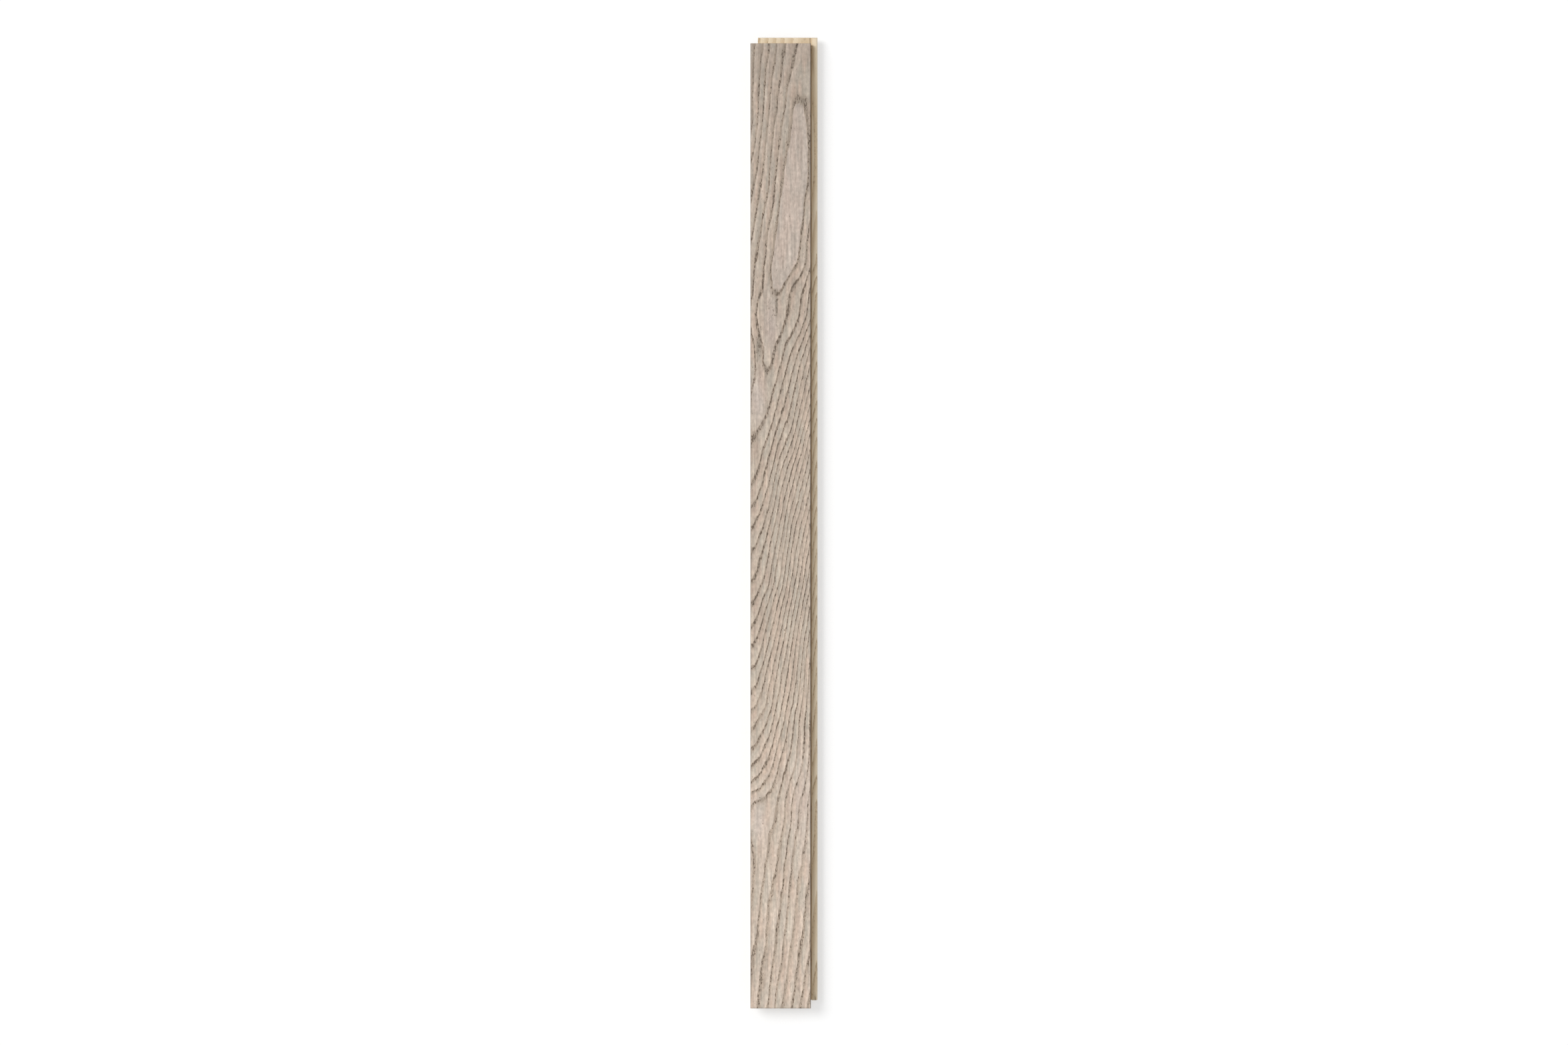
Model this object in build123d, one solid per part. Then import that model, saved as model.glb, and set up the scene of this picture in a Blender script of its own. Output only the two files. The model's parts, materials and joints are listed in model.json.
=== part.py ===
"""Solid hardwood strip floorboard, tongued and grooved along both sides and both ends."""

import os

from build123d import *

# Driving dimensions, in millimetres. X runs across the board, from its groove to its tongue,
# Y runs along the grain, and Z runs up from the underside to the face.
face_width = 57.15  # exposed width, shoulder to shoulder: 2 1/4 in
face_length = 914.4  # exposed length, shoulder to shoulder: 36 in
thickness = 19.05  # 3/4 in
wear_depth = 7.94  # face down to the upper side of the tongue: 5/16 in
edge_bevel = 0.8  # small bevel along both long edges of the face, the ends stay square

tongue_thickness = 6.1
tongue_projection = 6.35  # 1/4 in
tongue_tip_radius = 1.4
tongue_play = 0.25  # room for the tongue between the lips of the groove
tip_gap = 0.8  # room between the tongue's tip and the bottom of the groove
groove_corner_radius = 0.6
lip_setback = 0.6  # lower lip and lower shoulder stand back, so that the faces close first
nail_seat_radius = 1.1  # round seat at the root of the long tongue, where a nail starts

relief_count = 2  # channels along the back that keep the strip flat
relief_pitch = 24.0
relief_width = 11.0
relief_depth = 2.4
relief_corner_radius = 1.6

# Heights and depths that follow from them.
tongue_top = thickness - wear_depth
tongue_bottom = tongue_top - tongue_thickness
tongue_middle = (tongue_top + tongue_bottom) / 2
groove_height = tongue_thickness + tongue_play
groove_depth = tongue_projection + tip_gap


def block(left, right, bottom, top):
    """A rectangle between two sides and two heights."""
    centre = Pos((left + right) / 2, (bottom + top) / 2)
    return centre * Rectangle(right - left, top - bottom)


def tongue(shoulder):
    """The tongue, from its root inside the shoulder to its rounded tip."""
    tip = shoulder + tongue_projection
    bar = block(shoulder - groove_depth, tip, tongue_bottom, tongue_top)
    leading_corners = bar.vertices().group_by(Axis.X)[-1]
    return fillet(leading_corners, tongue_tip_radius)


def groove(edge):
    """The slot that takes the tongue of the next board, open past the edge."""
    half = groove_height / 2
    slot = block(edge - groove_depth, edge + groove_depth, tongue_middle - half, tongue_middle + half)
    inner_corners = slot.vertices().group_by(Axis.X)[-1]
    return fillet(inner_corners, groove_corner_radius)


def matched_section(run):
    """Tongue and groove outline with the groove on the left, run from shoulder to shoulder."""
    half = run / 2
    upper = block(-half, half, tongue_middle, thickness)
    lower = block(-half + lip_setback, half - lip_setback, 0, tongue_middle)
    return upper + lower + tongue(half) - groove(-half)


def bevels():
    """The corners taken off the two long edges of the face."""
    corner = Rectangle(edge_bevel * 2**0.5, edge_bevel * 2**0.5)
    return [Pos(side * face_width / 2, thickness) * Rot(0, 0, 45) * corner for side in (-1, 1)]


def relief_channels():
    """The channels along the back, evenly spaced about the middle."""
    channel = block(-relief_width / 2, relief_width / 2, -relief_depth, relief_depth)
    channel = fillet(channel.vertices().group_by(Axis.Y)[-1], relief_corner_radius)
    middle = (relief_count - 1) / 2
    return [Pos((n - middle) * relief_pitch, 0) * channel for n in range(relief_count)]


def cross_section():
    """The section that the moulder cuts along the whole board."""
    nail_seat = Pos(face_width / 2, tongue_top) * Circle(nail_seat_radius)
    return matched_section(face_width) - nail_seat - bevels() - relief_channels()


def floorboard():
    """The moulded strip, cut to the same tongue and groove at its two ends."""
    strip = extrude(Plane.XZ * cross_section(), face_length / 2 + tongue_projection, both=True)
    ends = extrude(Plane.YZ * matched_section(face_length), face_width / 2 + tongue_projection, both=True)
    return strip & ends


os.makedirs("parts", exist_ok=True)
export_step(floorboard(), "parts/floorboard.step")
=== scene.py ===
"""Dresses the floorboard: open-grained ash, stained grey-brown and lacquered on the face, bare elsewhere.

Metres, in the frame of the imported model: X across the board, Y along it towards the tongued end, Z up.
"""

import json
import math
from types import SimpleNamespace

import bmesh
import bpy
import numpy as np
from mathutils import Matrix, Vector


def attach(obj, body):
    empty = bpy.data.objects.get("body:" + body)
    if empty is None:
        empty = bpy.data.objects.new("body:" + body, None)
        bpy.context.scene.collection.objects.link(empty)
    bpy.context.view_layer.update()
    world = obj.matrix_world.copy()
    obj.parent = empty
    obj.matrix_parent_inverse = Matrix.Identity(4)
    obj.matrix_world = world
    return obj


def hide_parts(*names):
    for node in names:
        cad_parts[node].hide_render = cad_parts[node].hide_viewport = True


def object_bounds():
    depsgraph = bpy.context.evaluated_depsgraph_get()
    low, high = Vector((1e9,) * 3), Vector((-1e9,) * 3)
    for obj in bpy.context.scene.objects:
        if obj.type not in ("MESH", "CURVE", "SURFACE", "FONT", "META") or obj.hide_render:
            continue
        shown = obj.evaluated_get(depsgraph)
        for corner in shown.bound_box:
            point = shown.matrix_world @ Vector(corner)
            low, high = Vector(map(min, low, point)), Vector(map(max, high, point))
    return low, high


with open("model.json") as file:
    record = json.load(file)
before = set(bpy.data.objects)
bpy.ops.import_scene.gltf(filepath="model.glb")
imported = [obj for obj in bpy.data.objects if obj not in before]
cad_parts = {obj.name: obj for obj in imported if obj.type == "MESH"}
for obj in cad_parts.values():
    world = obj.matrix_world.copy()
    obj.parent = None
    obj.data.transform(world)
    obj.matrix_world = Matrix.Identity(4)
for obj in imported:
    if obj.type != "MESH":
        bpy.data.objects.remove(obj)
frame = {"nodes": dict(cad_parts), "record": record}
cad_low, cad_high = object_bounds()

# Sizes read from the frame. The face runs from groove to tongue and from end to end.
mounts = {mount["name"]: mount["pos_m"] for mount in frame["record"]["mounts"]}
HALF_WIDTH = -mounts["side_groove"][0]
HALF_LENGTH = -mounts["end_groove"][1]
FACE_HEIGHT = cad_high.z

# Mesh: the whole board is cut into rows, and on the face each row is divided along and across the board.
ROW_LENGTH = 0.016
ROW_PARTS = 12
FACE_COLUMNS = 108
BEVEL_COLUMNS = 2
EDGE_BEVEL = 0.0008
FLAT_ANGLE = math.radians(0.5)
SHARP_ANGLE = math.radians(35)
TINY = 1e-6

# How faces and edges lie: a face looks mainly along an axis, or is level, where that part of its normal is
# more than this, and an edge runs along the board where it is this many times longer along it than across.
MAINLY = 0.5
LEVEL = 0.9
ALONG_RATIO = 10

# Map for textures made from the material: the share of its width for each half of the wear face, the back,
# the floors and the roofs of the joints, each edge, each end, and the walls of the channels in the back.
MAP_NAME = "OFBake"
HALF_FACE_SHARE = 0.32
BACK_SHARE = 0.10
JOINT_SHARE = 0.03
EDGE_SHARE = 0.04
END_SHARE = 0.04
CHANNEL_SHARE = 0.04
MAP_MARGIN = 0.001
CHANNEL_TOP = 0.003
CHANNEL_REACH = 0.020
CHANNEL_WALLS = 4

# Growth rings. Each pair is a distance from the tongued end and a value there: where the middle of the
# arches lies across the face, how many rings have passed along that middle, how wide a ring is, how round
# an arch is, how strongly the rings took the stain, and how light the board is.
ARCH_MIDDLE = [
    (-0.01, 0.0240), (0.054, 0.0202), (0.086, 0.0187), (0.134, 0.0144), (0.175, 0.0075), (0.186, 0.0055),
    (0.211, 0.0010), (0.224, -0.0025), (0.233, -0.0048), (0.31, -0.0140), (0.376, -0.0280), (0.43, -0.0315),
    (0.56, -0.0312), (0.70, -0.0315), (0.93, -0.0400),
]
RINGS_PASSED = [
    (-0.01, 0.72), (0.054, 0.0), (0.086, -0.43), (0.123, -0.65), (0.175, -0.70), (0.20, -0.78),
    (0.212, -0.68), (0.224, -0.20), (0.232, 0.10), (0.257, 0.20), (0.271, 0.40), (0.285, 0.78),
    (0.30, 1.12), (0.376, 2.2), (0.409, 3.0), (0.436, 3.95), (0.457, 4.9), (0.481, 5.85), (0.509, 6.85),
    (0.536, 8.4), (0.568, 10.0), (0.596, 11.3), (0.615, 12.2), (0.652, 14.2), (0.686, 16.2),
    (0.705, 17.25), (0.718, 17.9), (0.74, 18.15), (0.93, 20.1),
]
RING_WIDTH = [
    (-0.01, 0.0073), (0.15, 0.0065), (0.25, 0.0055), (0.31, 0.0050), (0.376, 0.0042), (0.45, 0.0037),
    (0.60, 0.0038), (0.646, 0.0047), (0.695, 0.0068), (0.748, 0.0078), (0.93, 0.0078),
]
ARCH_ROUNDNESS = [
    (-0.01, 0.010), (0.20, 0.009), (0.31, 0.008), (0.42, 0.020), (0.62, 0.020), (0.70, 0.012), (0.93, 0.010),
]
RING_STRENGTH = [
    (-0.01, 0.78), (0.12, 0.86), (0.20, 1.06), (0.34, 1.14), (0.50, 1.06), (0.70, 1.03), (0.76, 0.88),
    (0.93, 0.84),
]
BOARD_TONE = [
    (-0.01, 0.855), (0.05, 0.895), (0.12, 0.925), (0.32, 0.955), (0.55, 0.98), (0.62, 1.005), (0.70, 1.035),
    (0.93, 1.025),
]

# The ring inside the arches, which has no dark line, and how fast the rings change with depth: a step down
# counts as that step divided by this number across the board.
INNER_RING = -1
HALF_RING = 0.5
RING_THICKNESS = 0.45

# How far the rings stray from an even course: cell across, cell along, rings.
WANDER_SEED = 11
WANDER_WIDE = (0.012, 0.045, 0.42)
WANDER_FINE = (0.004, 0.014, 0.18)

# Tips of the arches: place across, distance from the tongued end, way that the tip points. Past its tip a
# ring closes within a short length, so that its early wood stays a line there.
ARCH_TIPS = [(0.0202, 0.054, -1), (-0.0048, 0.232, 1), (-0.0140, 0.302, 1)]
TIP_RINGS = 0.36
TIP_LENGTH = 0.012
TIP_HALF_WIDTH = 0.008
TIP_FADE = 0.030

# Places where the rings lie closer or wider apart, where stain gathered in soft wood, and where pale wood
# took less of it: place across, distance from the tongued end, half width, half length, and rings or share.
RING_SHIFTS = [
    (-0.0340, 0.0750, 0.0170, 0.0450, 1.2),
    (0.0240, 0.2560, 0.0180, 0.0400, -1.9),
    (-0.0150, 0.2020, 0.0080, 0.0220, 0.35),
    (-0.0260, 0.2600, 0.0110, 0.0350, -0.75),
    (0.0160, 0.3450, 0.0240, 0.0500, -1.2),
    (0.0050, 0.3750, 0.0160, 0.0300, -0.6),
    (0.0040, 0.7300, 0.0200, 0.0240, -0.6),
    (-0.0260, 0.7360, 0.0100, 0.0280, 1.15),
]
SMUDGES = [
    (0.0210, 0.0555, 0.0050, 0.0040, 0.75),
    (-0.0209, 0.2860, 0.0024, 0.0110, 0.75),
    (0.0222, 0.1500, 0.0013, 0.0120, 0.50),
    (0.0240, 0.2020, 0.0013, 0.0120, 0.50),
    (0.0130, 0.2290, 0.0016, 0.0070, 0.60),
    (0.0080, 0.2450, 0.0012, 0.0100, 0.50),
    (-0.0045, 0.2340, 0.0030, 0.0020, 0.50),
    (-0.0038, 0.2490, 0.0013, 0.0130, 0.85),
    (-0.0132, 0.3090, 0.0020, 0.0050, 0.60),
    (-0.0127, 0.3455, 0.0016, 0.0070, 0.60),
    (-0.0197, 0.3640, 0.0014, 0.0060, 0.40),
    (-0.0180, 0.7160, 0.0030, 0.0030, 0.60),
]
PALE_PATCHES = [
    (-0.0090, 0.2640, 0.0065, 0.0260, 0.60),
    (-0.0220, 0.3380, 0.0075, 0.0240, 0.60),
    (-0.0210, 0.7360, 0.0065, 0.0180, 0.50),
    (0.0210, 0.7200, 0.0110, 0.0500, 0.30),
]

# Carved grain: its depth, the places in a ring where it is deepest and where it ends, and how much of a
# ring its rise takes up.
GRAIN_DEPTH = 0.00005
GRAIN_DEEPEST = 0.14
GRAIN_END = 0.46
GRAIN_RISE = 0.30

# Places in a ring, from 0 at its start to 1 at its end: where a wood begins or ends, and where it is whole.
EARLY_START = (0.0, 0.07)
EARLY_END = (0.40, 0.12)
SOFT_END = (0.50, 0.15)
LATE_START = (0.55, 0.85)
BARE_LATE_START = (0.15, 0.8)

# Noises in the material: cell across the board and cell along it.
JITTER_CELL = (0.0018, 0.009)
FADE_CELL = (0.016, 0.05)
COARSE_VESSEL_CELL = (0.0013, 0.0027)
FINE_VESSEL_CELL = (0.00035, 0.0040)
FIBRE_CELL = (0.0005, 0.03)
STREAK_CELL = (0.0020, 0.03)
MOTTLE_CELL = (0.0024, 0.0042)
REGION_CELL = (0.009, 0.040)
STAIN_EDGE_CELL = (0.002, 0.01)

# Where a noise or another measure starts to count, and where it counts in full. The last two are heights.
FADE_RANGE = (0.30, 0.60)
VESSEL_RANGE = (0.41, 0.52)
REGION_RANGE = (0.36, 0.64)
END_GRAIN_RANGE = (0.6, 0.9)
WIDE_RING_RANGE = (0.0046, 0.0066)
BEVEL_STAIN_AND_SHADE_RANGE = (FACE_HEIGHT - 0.0001, FACE_HEIGHT - 0.0004)
STAIN_RANGE = (FACE_HEIGHT - 0.0019, FACE_HEIGHT - 0.0014)

# What a share from 0 to 1 stands for: rings of jitter, strengths of a ring, share of coarse vessels off and
# on the end grain, help that early wood gives vessels to show, shares of colours, tones, and heights.
JITTER_RINGS = (-0.12, 0.12)
RING_CHANCE = (0.74, 1.0)
FADED_STRENGTH = (0.62, 1.0)
COARSE_SHARE = (0.70, 0.35)
VESSEL_HELP = (-0.22, 0.0)
INNER_SHARE = (0.2, 0.8)
CLOUD_SHARE = (0.2, 1.0)
BARE_VESSEL_SHARE = (0.5, 0.8)
FIBRE_TONE = (0.90, 1.10)
STREAK_TONE = (0.80, 1.20)
MOTTLE_TONE = (0.81, 1.19)
BARE_TONE = (0.86, 1.14)
STAIN_EDGE_STRAY = (-0.0008, 0.0008)

# Shares of single colours, and the steps that give each ring a strength of its own.
LATE_SHARE = 0.55
WIDE_RING_COOLNESS = 0.4
CROWD_SHARE = 0.38
VESSEL_SHARE = 0.90
BEVEL_STAIN_AND_SHADE_SHARE = 0.8
END_GRAIN_SHARE = 0.5
CHANCE_STEP = 0.618
CHANCE_START = 0.38
TONE_POWER = 2.0

# Colours as they show on screen, 0 to 255.
WARM_WOOD = (195, 174, 157)
COOL_WOOD = (188, 176, 161)
WARM_LATE_WOOD = (207, 191, 173)
COOL_LATE_WOOD = (207, 191, 180)
EARLY_WOOD = (180, 163, 146)
PALE_WOOD = (207, 192, 183)
CROWDED_STAIN = (130, 113, 96)
CLOUDED_STAIN = (124, 116, 103)
STAINED_VESSEL = (94, 78, 63)
# The bevels' colour is partly stain pooled in them and partly painted shade of the seams between boards.
STAINED_AND_SHADED_BEVEL = (88, 72, 59)
BARE_EARLY_WOOD = (206, 186, 156)
BARE_LATE_WOOD = (224, 208, 182)
BARE_END_GRAIN = (182, 156, 122)
BARE_VESSEL = (138, 111, 82)

# Finish: roughness of the lacquer, clear and over vessels, and of bare wood, and the bump of the fibres.
LACQUER_ROUGHNESS = (0.42, 0.62)
BARE_ROUGHNESS = 0.72
FIBRE_HEIGHT = 0.3
VESSEL_HEIGHT = -1.0
BUMP_STRENGTH = 0.5
BUMP_DISTANCE = 0.00006

# Camera: picture in pixels, lens and sensor in millimetres, share of the picture's height for the board.
PICTURE_SIZE = (2352, 1568)
LENS_MM = 100
SENSOR_MM = 36
FRAME_FILL = 0.93

# Floor and light. What a camera sees of the floor is part grey, which takes the shadow, and part glow.
FLOOR_SIZE = 8.0
FLOOR_GREY = 0.8
SHOWN_FLOOR_GREY = 0.52
SHOWN_FLOOR_GLOW = 0.5
WORLD_LIGHT = 0.55
SHOWN_WORLD_LIGHT = 1.0
SUN_LIGHT = 1.95
SUN_SOFTNESS = math.radians(30)
SUN_TILT = math.radians(42)
SUN_TURN = math.radians(240)


def srgb(shown):
    """A colour as it shows on screen, 0 to 255, as the linear colour that a shader takes."""
    shown = np.array(shown) / 255
    linear = np.where(shown <= 0.04045, shown / 12.92, ((shown + 0.055) / 1.055) ** 2.4)
    return (*linear.tolist(), 1.0)


def grey(level):
    """A linear grey, from 0 for black to 1 for white."""
    return (level, level, level, 1.0)


def smooth_step(share):
    """A share from 0 to 1, eased at both ends."""
    return share * share * (3 - 2 * share)


def smooth_curve(points, at):
    """A smooth curve through given points, read at many places."""
    places, values = np.array(points).T
    slopes = np.gradient(values, places)
    first = np.clip(np.searchsorted(places, at) - 1, 0, len(places) - 2)
    span = places[first + 1] - places[first]
    along = np.clip((at - places[first]) / span, 0, 1)
    back = 1 - along
    start = (1 + 2 * along) * back**2 * values[first] + along * back**2 * span * slopes[first]
    end = along**2 * (1 + 2 * back) * values[first + 1] - along**2 * back * span * slopes[first + 1]
    return start + end


def soft_noise(x, y, cell_x, cell_y, seed):
    """Smooth random values about zero, with cells of this size."""
    columns, rows = x / cell_x, y / cell_y
    column, row = np.floor(columns).astype(int), np.floor(rows).astype(int)
    column_low, row_low = column.min(), row.min()
    shape = (column.max() - column_low + 2, row.max() - row_low + 2)
    lattice = np.random.default_rng(seed).uniform(-0.5, 0.5, shape)
    u, v = smooth_step(columns - column), smooth_step(rows - row)
    i, j = column - column_low, row - row_low
    near = lattice[i, j] * (1 - u) + lattice[i + 1, j] * u
    far = lattice[i, j + 1] * (1 - u) + lattice[i + 1, j + 1] * u
    return near * (1 - v) + far * v


def wander(x, y):
    """How far the rings stray from their even course, in rings."""
    total = np.zeros_like(x)
    for turn, (across, along, amount) in enumerate((WANDER_WIDE, WANDER_FINE)):
        total += amount * soft_noise(x, y, across, along, WANDER_SEED + turn)
    return total


def arch_tips(x, from_end):
    """How far the rings are pushed on past the tips of the arches, in rings."""
    total = np.zeros_like(x)
    for across, along, way in ARCH_TIPS:
        past = np.clip((from_end - along) * way, 0, None)
        near = np.exp(-((x - across) / TIP_HALF_WIDTH) ** 2 - (past / TIP_FADE) ** 2)
        total += TIP_RINGS * np.clip(past / TIP_LENGTH, 0, 1) * near
    return total


def patches(rows, x, from_end):
    """How much of some soft-edged patches is at each place."""
    total = np.zeros_like(x)
    for across, along, half_width, half_length, share in rows:
        apart = ((x - across) / half_width) ** 2 + ((from_end - along) / half_length) ** 2
        total += share * np.exp(-apart)
    return total


def grain_relief(phase):
    """How far the soft early wood lies below the face, for places in a ring from 0 to 1."""
    fall = smooth_step(np.clip(phase / GRAIN_DEEPEST, 0, 1))
    rise = smooth_step(np.clip((GRAIN_END - phase) / GRAIN_RISE, 0, 1))
    return GRAIN_DEPTH * fall * rise


def is_along(edge):
    """Whether an edge runs along the board."""
    start, end = (vertex.co for vertex in edge.verts)
    return abs(end.y - start.y) > ALONG_RATIO * (abs(end.x - start.x) + abs(end.z - start.z))


def cut_rows(bm):
    """Cuts the whole board into short rows."""
    count = round(2 * HALF_LENGTH / ROW_LENGTH)
    for place in np.linspace(-HALF_LENGTH, HALF_LENGTH, count + 1)[1:-1]:
        geometry = bm.verts[:] + bm.edges[:] + bm.faces[:]
        bmesh.ops.bisect_plane(bm, geom=geometry, plane_co=(0, place, 0), plane_no=(0, 1, 0))


def divide(bm, faces, along, parts):
    """Divides the edges of some faces that run along the board, or across it."""
    edges = {edge for face in faces for edge in face.edges if is_along(edge) == along}
    bmesh.ops.subdivide_edges(bm, edges=list(edges), cuts=parts - 1, use_grid_fill=True)


def upper_faces(bm, bevels):
    """The faces of the wear face, or of the bevels beside it."""
    low = FACE_HEIGHT - EDGE_BEVEL - TINY
    up = [face for face in bm.faces if face.normal.z > MAINLY and face.calc_center_median().z > low]
    return [face for face in up if (face.normal.z < LEVEL) == bevels]


def refined_mesh():
    """The board's own shape, with the face cut fine enough to carry its grain."""
    bm = bmesh.new()
    bm.from_mesh(frame["nodes"]["floorboard"].data)
    bmesh.ops.remove_doubles(bm, verts=bm.verts, dist=TINY)
    bmesh.ops.dissolve_limit(bm, angle_limit=FLAT_ANGLE, verts=bm.verts, edges=bm.edges)
    cut_rows(bm)
    divide(bm, upper_faces(bm, False) + upper_faces(bm, True), True, ROW_PARTS)
    divide(bm, upper_faces(bm, False), False, FACE_COLUMNS)
    divide(bm, upper_faces(bm, True), False, BEVEL_COLUMNS)
    mesh = bpy.data.meshes.new("floorboard_visual")
    bm.to_mesh(mesh)
    bm.free()
    return mesh


def read(items, name, width=1):
    """A number, or a row of them, from each vertex, corner or face of a mesh."""
    values = np.empty(len(items) * width, np.float32)
    items.foreach_get(name, values)
    return values.reshape(-1, width).astype(float)


def lay_out_map(mesh):
    """Lays the faces out on a map, by the way they look, with most of the room for the wear face."""
    sides = read(mesh.polygons, "loop_total").astype(int).ravel()
    corners = read(mesh.loops, "vertex_index").astype(int).ravel()
    places = read(mesh.vertices, "co", 3)[corners]
    look_x, look_y, look_z = np.repeat(read(mesh.polygons, "normal", 3), sides, axis=0).T
    face_x, face_y, face_z = np.repeat(read(mesh.polygons, "center", 3), sides, axis=0).T

    # What each corner's face is
    worn = (look_z > MAINLY) & (face_z > FACE_HEIGHT - EDGE_BEVEL)
    end = np.abs(look_y) > MAINLY
    upright = ~end & ~worn & (np.abs(look_x) > np.abs(look_z))
    channel = upright & (face_z < CHANNEL_TOP) & (np.abs(face_x) < CHANNEL_REACH)
    edge = upright & ~channel
    level = ~(end | worn | upright)
    back = level & (look_z < 0) & (face_z < CHANNEL_TOP)
    joint = level & ~back

    # Where it goes in its column, from 0 to 1 across and along. The walls of the channels go side by side.
    across, along, up = ((places - cad_low) / (cad_high - cad_low)).T
    face_across = (places[:, 0] / HALF_WIDTH + 1) / 2
    face_along = places[:, 1] / HALF_LENGTH
    wall = (2 * (face_x > 0) + (look_x > 0) + places[:, 2] / CHANNEL_TOP) / CHANNEL_WALLS
    columns = [
        (HALF_FACE_SHARE, worn & (face_y < 0), face_across, face_along + 1),
        (HALF_FACE_SHARE, worn & (face_y > 0), face_across, face_along),
        (BACK_SHARE, back, across, along),
        (JOINT_SHARE, joint & (look_z > 0), across, along),
        (JOINT_SHARE, joint & (look_z < 0), across, along),
        (EDGE_SHARE, edge & (look_x > 0), up, along),
        (EDGE_SHARE, edge & (look_x < 0), up, along),
        (END_SHARE, end & (look_y > 0), up, across),
        (END_SHARE, end & (look_y < 0), up, across),
        (CHANNEL_SHARE, channel, wall, along),
    ]
    spots = np.zeros((len(corners), 2), np.float32)
    start = 0.0
    for share, chosen, u, v in columns:
        spots[chosen, 0] = start + MAP_MARGIN + (share - 2 * MAP_MARGIN) * u[chosen]
        spots[chosen, 1] = v[chosen]
        start += share
    mesh.uv_layers.new(name=MAP_NAME).uv.foreach_set("vector", spots.ravel())


def add_grain(mesh):
    """Carves the grain into the face and keeps the rings' course on the mesh for its material."""
    places = read(mesh.vertices, "co", 3)
    x, y, z = places.T
    from_end = HALF_LENGTH - y
    middle = smooth_curve(ARCH_MIDDLE, from_end)
    passed = smooth_curve(RINGS_PASSED, from_end)
    width = smooth_curve(RING_WIDTH, from_end)
    roundness = smooth_curve(ARCH_ROUNDNESS, from_end)

    # The rings stray most on the face. Further down the mesh is coarser, and they run more evenly.
    stray = wander(x, y) + arch_tips(x, from_end) + patches(RING_SHIFTS, x, from_end)
    stray *= z / FACE_HEIGHT
    rings = (np.hypot(x - middle, roundness) - roundness) / width + passed + stray
    on_face = np.clip((z - FACE_HEIGHT + EDGE_BEVEL) / EDGE_BEVEL, 0, 1)
    places[:, 2] -= on_face * grain_relief(rings % 1.0)
    mesh.vertices.foreach_set("co", places.ravel())

    course = mesh.attributes.new("ring_course", "FLOAT_VECTOR", "POINT")
    course.data.foreach_set("vector", np.stack([middle, passed + stray, width], axis=1).ravel())
    floats = {
        "arch_roundness": roundness,
        "board_tone": smooth_curve(BOARD_TONE, from_end),
        "ring_strength": smooth_curve(RING_STRENGTH, from_end),
        "smudge": patches(SMUDGES, x, from_end),
        "paleness": patches(PALE_PATCHES, x, from_end),
    }
    for name, values in floats.items():
        mesh.attributes.new(name, "FLOAT", "POINT").data.foreach_set("value", values)


class Nodes:
    """Adds nodes to a material or a world, each by its inputs in order."""

    def __init__(self, owner):
        owner.use_nodes = True
        self.tree = owner.node_tree
        self.tree.nodes.clear()

    def add(self, kind, *inputs, **settings):
        """A new node, where an input of None keeps its default."""
        node = self.tree.nodes.new("ShaderNode" + kind)
        for name, value in settings.items():
            setattr(node, name, value)
        for socket, value in zip(node.inputs, inputs):
            self.feed(socket, value)
        return node

    def feed(self, socket, value):
        """Links an output to an input, or sets the input's own value."""
        if isinstance(value, bpy.types.NodeSocket):
            self.tree.links.new(value, socket)
        elif value is not None:
            socket.default_value = value

    def attribute(self, name, output="Fac"):
        """A value that the mesh keeps at its vertices."""
        return self.add("Attribute", attribute_name=name).outputs[output]

    def math(self, operation, *values):
        return self.add("Math", *values, operation=operation).outputs[0]

    def ease(self, value, start, end):
        """0 before start, 1 after end, smooth between."""
        return self.add("MapRange", value, start, end, interpolation_type="SMOOTHSTEP").outputs[0]

    def between(self, value, low, high):
        """A value from 0 to 1, spread from low to high."""
        return self.add("MapRange", value, 0.0, 1.0, low, high).outputs[0]

    def blend(self, share, first, second):
        """A colour that goes from the first to the second, by the Mix node's own sockets for colours."""
        node = self.add("Mix", share, data_type="RGBA")
        self.feed(node.inputs[6], first)
        self.feed(node.inputs[7], second)
        return node.outputs[2]

    def scale(self, colour, tone):
        """A colour made lighter or darker."""
        node = self.add("VectorMath", colour, operation="SCALE")
        self.feed(node.inputs["Scale"], tone)
        return node.outputs[0]

    def noise(self, place, across, along, detail=2.0):
        """Noise with cells of this size across and along the board."""
        cells = (1 / across, 1 / along, 1 / across)
        stretched = self.add("VectorMath", place, cells, operation="MULTIPLY").outputs[0]
        return self.add("TexNoise", stretched, None, 1.0, detail).outputs[0]


def place_in_rings(nodes, wood):
    """Finds the place in a ring, from 0 to 1, and the ring's number and width, and marks the inner ring."""
    middle, passed, wood.width = nodes.add("SeparateXYZ", nodes.attribute("ring_course", "Vector")).outputs
    roundness = nodes.attribute("arch_roundness")
    across = nodes.math("SUBTRACT", wood.x, middle)
    reach = nodes.add("CombineXYZ", across, roundness).outputs[0]
    reach = nodes.add("VectorMath", reach, operation="LENGTH").outputs["Value"]
    depth = nodes.math("DIVIDE", nodes.math("SUBTRACT", FACE_HEIGHT, wood.z), RING_THICKNESS)
    rings = nodes.math("SUBTRACT", nodes.math("SUBTRACT", reach, roundness), depth)
    rings = nodes.math("ADD", nodes.math("DIVIDE", rings, wood.width), passed)
    jitter = nodes.noise(wood.place, *JITTER_CELL)
    rings = nodes.math("ADD", rings, nodes.between(jitter, *JITTER_RINGS))
    wood.phase = nodes.math("FRACT", rings)
    wood.number = nodes.math("FLOOR", rings)
    wood.inner = nodes.math("COMPARE", wood.number, INNER_RING, HALF_RING)
    wood.outer = nodes.math("SUBTRACT", 1.0, wood.inner)


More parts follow.
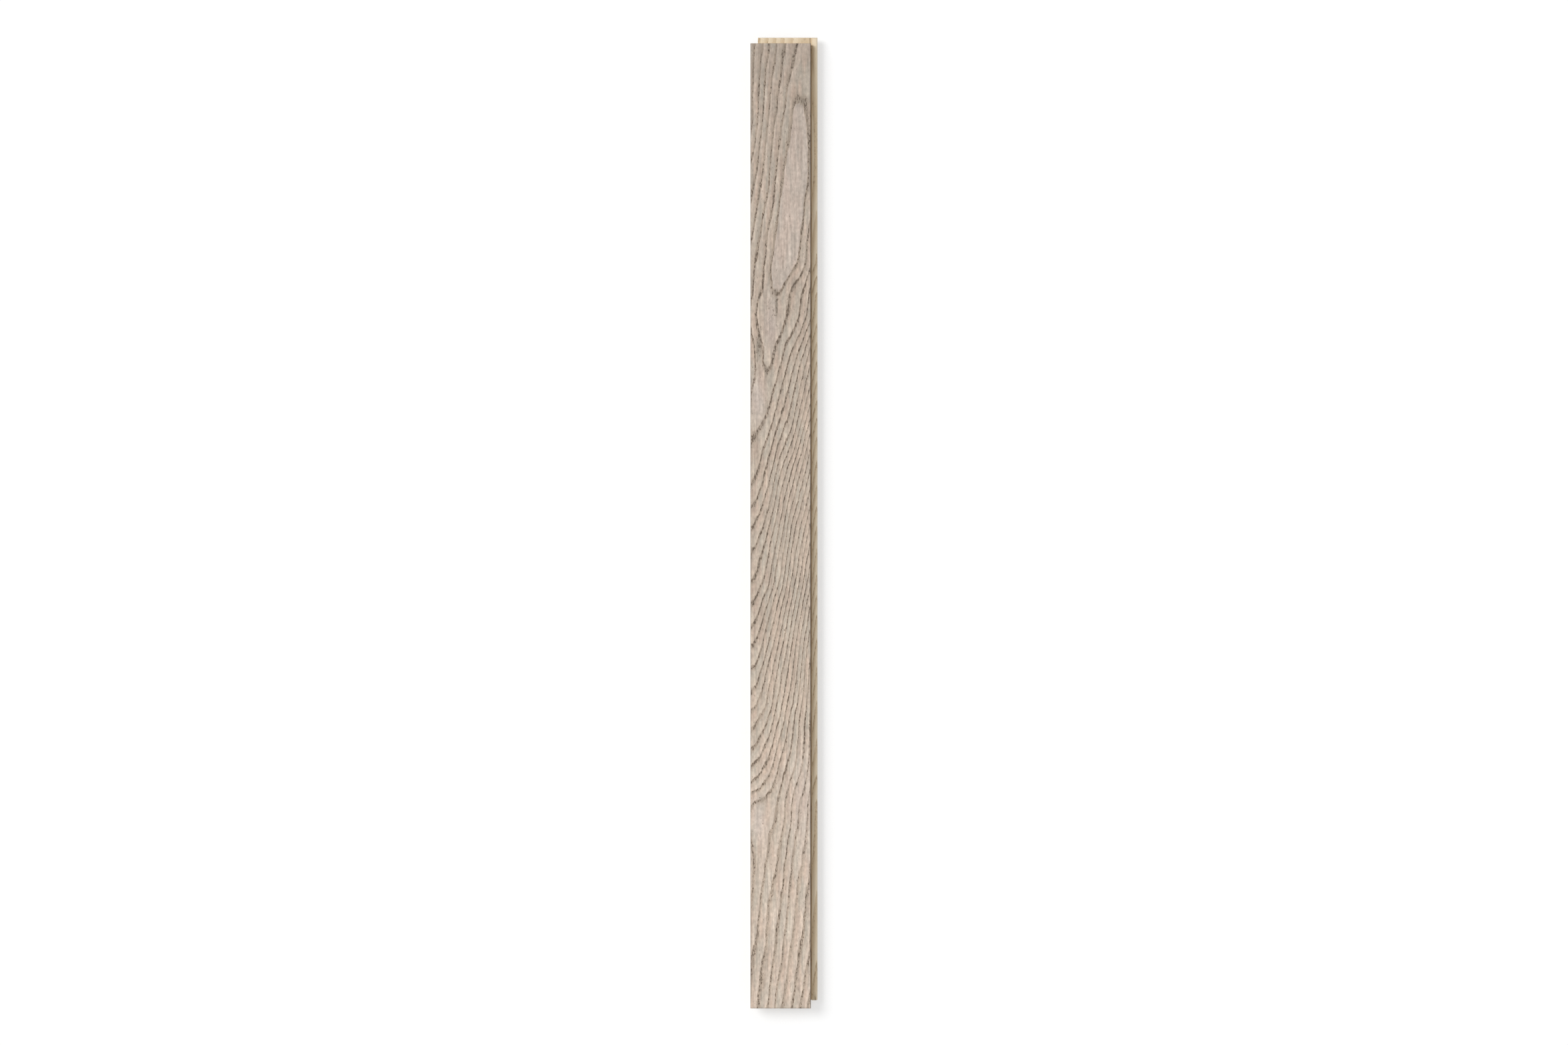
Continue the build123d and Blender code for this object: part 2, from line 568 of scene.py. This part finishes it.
def open_vessels(nodes, wood):
    """Finds how crowded the vessels of the early wood are, and where a dark vessel shows."""
    early = nodes.ease(wood.phase, *EARLY_START)
    early = nodes.math("MULTIPLY", early, nodes.ease(wood.phase, *EARLY_END))
    chance = nodes.math("FRACT", nodes.math("MULTIPLY_ADD", wood.number, CHANCE_STEP, CHANCE_START))
    fade = nodes.ease(nodes.noise(wood.place, *FADE_CELL), *FADE_RANGE)
    strength = nodes.attribute("ring_strength")
    strength = nodes.math("MULTIPLY", strength, nodes.between(chance, *RING_CHANCE))
    strength = nodes.math("MULTIPLY", strength, nodes.between(fade, *FADED_STRENGTH))
    strength = nodes.math("MULTIPLY", strength, wood.outer)
    strength = nodes.math("MULTIPLY", strength, nodes.math("SUBTRACT", 1.0, wood.paleness))
    wood.crowd = nodes.math("MAXIMUM", nodes.math("MULTIPLY", early, strength), wood.smudge)

    coarse = nodes.noise(wood.place, *COARSE_VESSEL_CELL)
    fine = nodes.noise(wood.place, *FINE_VESSEL_CELL, detail=1.0)
    gap = nodes.math("SUBTRACT", coarse, fine)
    vessels = nodes.math("MULTIPLY_ADD", gap, nodes.between(wood.end_grain, *COARSE_SHARE), fine)
    vessels = nodes.math("ADD", vessels, nodes.between(wood.crowd, *VESSEL_HELP))
    wood.dark = nodes.ease(vessels, *VESSEL_RANGE)


def stained_colour(nodes, wood):
    """The wear face: pale late wood, stain in the early wood and its vessels, and bevels darkened by pooled
    stain and painted seam shade.
    """
    streaks = nodes.noise(wood.place, *STREAK_CELL)
    mottle = nodes.noise(wood.place, *MOTTLE_CELL)
    regions = nodes.ease(nodes.noise(wood.place, *REGION_CELL), *REGION_RANGE)
    colour = nodes.blend(regions, srgb(WARM_WOOD), srgb(COOL_WOOD))

    # Late and early wood
    late = nodes.math("MULTIPLY", nodes.ease(wood.phase, *LATE_START), LATE_SHARE)
    inner = nodes.math("MULTIPLY", wood.inner, nodes.between(streaks, *INNER_SHARE))
    late = nodes.math("MAXIMUM", late, inner)
    wide = nodes.math("MULTIPLY", nodes.ease(wood.width, *WIDE_RING_RANGE), WIDE_RING_COOLNESS)
    cool = nodes.math("MAXIMUM", wide, wood.inner)
    late_colour = nodes.blend(cool, srgb(WARM_LATE_WOOD), srgb(COOL_LATE_WOOD))
    colour = nodes.blend(late, colour, late_colour)
    soft = nodes.math("MULTIPLY", nodes.ease(wood.phase, *SOFT_END), wood.outer)
    colour = nodes.blend(soft, colour, srgb(EARLY_WOOD))
    colour = nodes.blend(wood.paleness, colour, srgb(PALE_WOOD))

    # Stain, and painted seam shade on the bevels
    crowd = nodes.math("MULTIPLY", wood.crowd, CROWD_SHARE)
    colour = nodes.blend(crowd, colour, srgb(CROWDED_STAIN))
    cloud = nodes.math("MULTIPLY", wood.smudge, nodes.between(mottle, *CLOUD_SHARE))
    colour = nodes.blend(cloud, colour, srgb(CLOUDED_STAIN))
    dark = nodes.math("MULTIPLY", wood.dark, VESSEL_SHARE)
    colour = nodes.blend(dark, colour, srgb(STAINED_VESSEL))
    # The bevels are darkened partly by stain pooled in them and partly by painted shade of the seams between
    # boards.
    bevel_stain_and_shade = nodes.math("MULTIPLY", nodes.ease(wood.z, *BEVEL_STAIN_AND_SHADE_RANGE), BEVEL_STAIN_AND_SHADE_SHARE)
    colour = nodes.blend(bevel_stain_and_shade, colour, srgb(STAINED_AND_SHADED_BEVEL))

    # Light and dark along the fibres
    tone = nodes.attribute("board_tone")
    for noise, spread in ((wood.fibres, FIBRE_TONE), (streaks, STREAK_TONE), (mottle, MOTTLE_TONE)):
        tone = nodes.math("MULTIPLY", tone, nodes.between(noise, *spread))
    return nodes.scale(colour, nodes.math("POWER", tone, TONE_POWER))


def bare_colour(nodes, wood):
    """The planed ash of the edges, the ends and the back."""
    late = nodes.ease(wood.phase, *BARE_LATE_START)
    colour = nodes.blend(late, srgb(BARE_EARLY_WOOD), srgb(BARE_LATE_WOOD))
    end_grain = nodes.math("MULTIPLY", wood.end_grain, END_GRAIN_SHARE)
    colour = nodes.blend(end_grain, colour, srgb(BARE_END_GRAIN))
    dark = nodes.math("MULTIPLY", wood.dark, nodes.between(wood.end_grain, *BARE_VESSEL_SHARE))
    colour = nodes.blend(dark, colour, srgb(BARE_VESSEL))
    return nodes.scale(colour, nodes.between(wood.fibres, *BARE_TONE))


def board_material():
    """Stained and lacquered ash on the face, and bare ash from just below the bevels down."""
    material = bpy.data.materials.new("stained_ash")
    nodes = Nodes(material)
    wood = SimpleNamespace()
    wood.place = nodes.add("TexCoord").outputs["Object"]
    split_place = nodes.add("SeparateXYZ", wood.place).outputs
    wood.x = split_place["X"]
    wood.z = split_place["Z"]
    split_normal = nodes.add("SeparateXYZ", nodes.add("NewGeometry").outputs["Normal"]).outputs
    wood.end_grain = nodes.ease(nodes.math("ABSOLUTE", split_normal["Y"]), *END_GRAIN_RANGE)
    wood.smudge = nodes.attribute("smudge")
    wood.paleness = nodes.attribute("paleness")
    wood.fibres = nodes.noise(wood.place, *FIBRE_CELL)
    place_in_rings(nodes, wood)
    open_vessels(nodes, wood)

    # Where the stain ends
    stray = nodes.between(nodes.noise(wood.place, *STAIN_EDGE_CELL), *STAIN_EDGE_STRAY)
    finish = nodes.ease(nodes.math("ADD", wood.z, stray), *STAIN_RANGE)
    colour = nodes.blend(finish, bare_colour(nodes, wood), stained_colour(nodes, wood))

    smoother = nodes.math("SUBTRACT", nodes.between(wood.dark, *LACQUER_ROUGHNESS), BARE_ROUGHNESS)
    roughness = nodes.math("MULTIPLY_ADD", finish, smoother, BARE_ROUGHNESS)
    height = nodes.math("MULTIPLY", wood.dark, VESSEL_HEIGHT)
    height = nodes.math("MULTIPLY_ADD", wood.fibres, FIBRE_HEIGHT, height)
    bump = nodes.add("Bump", BUMP_STRENGTH, BUMP_DISTANCE)
    nodes.feed(bump.inputs["Height"], height)

    shader = nodes.add("BsdfPrincipled")
    nodes.feed(shader.inputs["Base Color"], colour)
    nodes.feed(shader.inputs["Roughness"], roughness)
    nodes.feed(shader.inputs["Normal"], bump.outputs[0])
    nodes.add("OutputMaterial", shader.outputs[0])
    return material


def make_board():
    """The board, with its grain carved and its finish on, in place of the plain solid."""
    mesh = refined_mesh()
    lay_out_map(mesh)
    add_grain(mesh)
    mesh.polygons.foreach_set("use_smooth", np.ones(len(mesh.polygons), bool))
    mesh.set_sharp_from_angle(angle=SHARP_ANGLE)
    mesh.materials.append(board_material())
    board = bpy.data.objects.new("floorboard_visual", mesh)
    bpy.context.scene.collection.objects.link(board)
    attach(board, "root")
    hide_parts("floorboard")


def seen_rays(nodes):
    """1 for a ray that shows the background, straight or in a gloss, and 0 for one that lights the board."""
    path = nodes.add("LightPath").outputs
    seen = nodes.math("MAXIMUM", path["Is Camera Ray"], path["Is Glossy Ray"])
    return nodes.math("MAXIMUM", seen, path["Is Transmission Ray"])


def floor_material():
    """Pale grey as a light for the board, and white with the board's shadow for the camera."""
    material = bpy.data.materials.new("pale_floor")
    nodes = Nodes(material)
    matt = nodes.add("BsdfDiffuse", grey(FLOOR_GREY)).outputs[0]
    shaded = nodes.add("BsdfDiffuse", grey(SHOWN_FLOOR_GREY)).outputs[0]
    glow = nodes.add("Emission", grey(1.0), SHOWN_FLOOR_GLOW).outputs[0]
    shown = nodes.add("AddShader", shaded, glow).outputs[0]
    mixed = nodes.add("MixShader", seen_rays(nodes), matt, shown).outputs[0]
    nodes.add("OutputMaterial", mixed)
    return material


def make_floor():
    """A wide flat floor under the board."""
    mesh = bpy.data.meshes.new("floor")
    half = FLOOR_SIZE / 2
    corners = [(-half, -half, 0), (half, -half, 0), (half, half, 0), (-half, half, 0)]
    mesh.from_pydata(corners, [], [(0, 1, 2, 3)])
    mesh.materials.append(floor_material())
    floor = bpy.data.objects.new("floor", mesh)
    bpy.context.scene.collection.objects.link(floor)


def make_world():
    """Even light from all round, and white where it is seen."""
    world = bpy.data.worlds.new("studio")
    nodes = Nodes(world)
    lit = nodes.add("Background", grey(1.0), WORLD_LIGHT).outputs[0]
    shown = nodes.add("Background", grey(1.0), SHOWN_WORLD_LIGHT).outputs[0]
    mixed = nodes.add("MixShader", seen_rays(nodes), lit, shown).outputs[0]
    nodes.add("OutputWorld", mixed)
    bpy.context.scene.world = world


def make_key_light():
    """One soft slanting lamp."""
    lamp = bpy.data.lights.new("key", "SUN")
    lamp.energy = SUN_LIGHT
    lamp.angle = SUN_SOFTNESS
    key = bpy.data.objects.new("key", lamp)
    key.rotation_euler = (SUN_TILT, 0, SUN_TURN)
    bpy.context.scene.collection.objects.link(key)


def make_camera():
    """Straight above the board, with its tongued end at the top of the picture."""
    data = bpy.data.cameras.new("camera")
    data.lens = LENS_MM
    data.sensor_width = SENSOR_MM
    camera = bpy.data.objects.new("camera", data)
    middle = (cad_low + cad_high) / 2
    seen_height = SENSOR_MM * PICTURE_SIZE[1] / PICTURE_SIZE[0]
    distance = (cad_high.y - cad_low.y) / FRAME_FILL * LENS_MM / seen_height
    camera.location = (middle.x, middle.y, FACE_HEIGHT + distance)
    bpy.context.scene.collection.objects.link(camera)
    bpy.context.scene.camera = camera


make_board()
make_floor()
make_world()
make_key_light()
make_camera()
bpy.context.scene.view_settings.view_transform = "Standard"
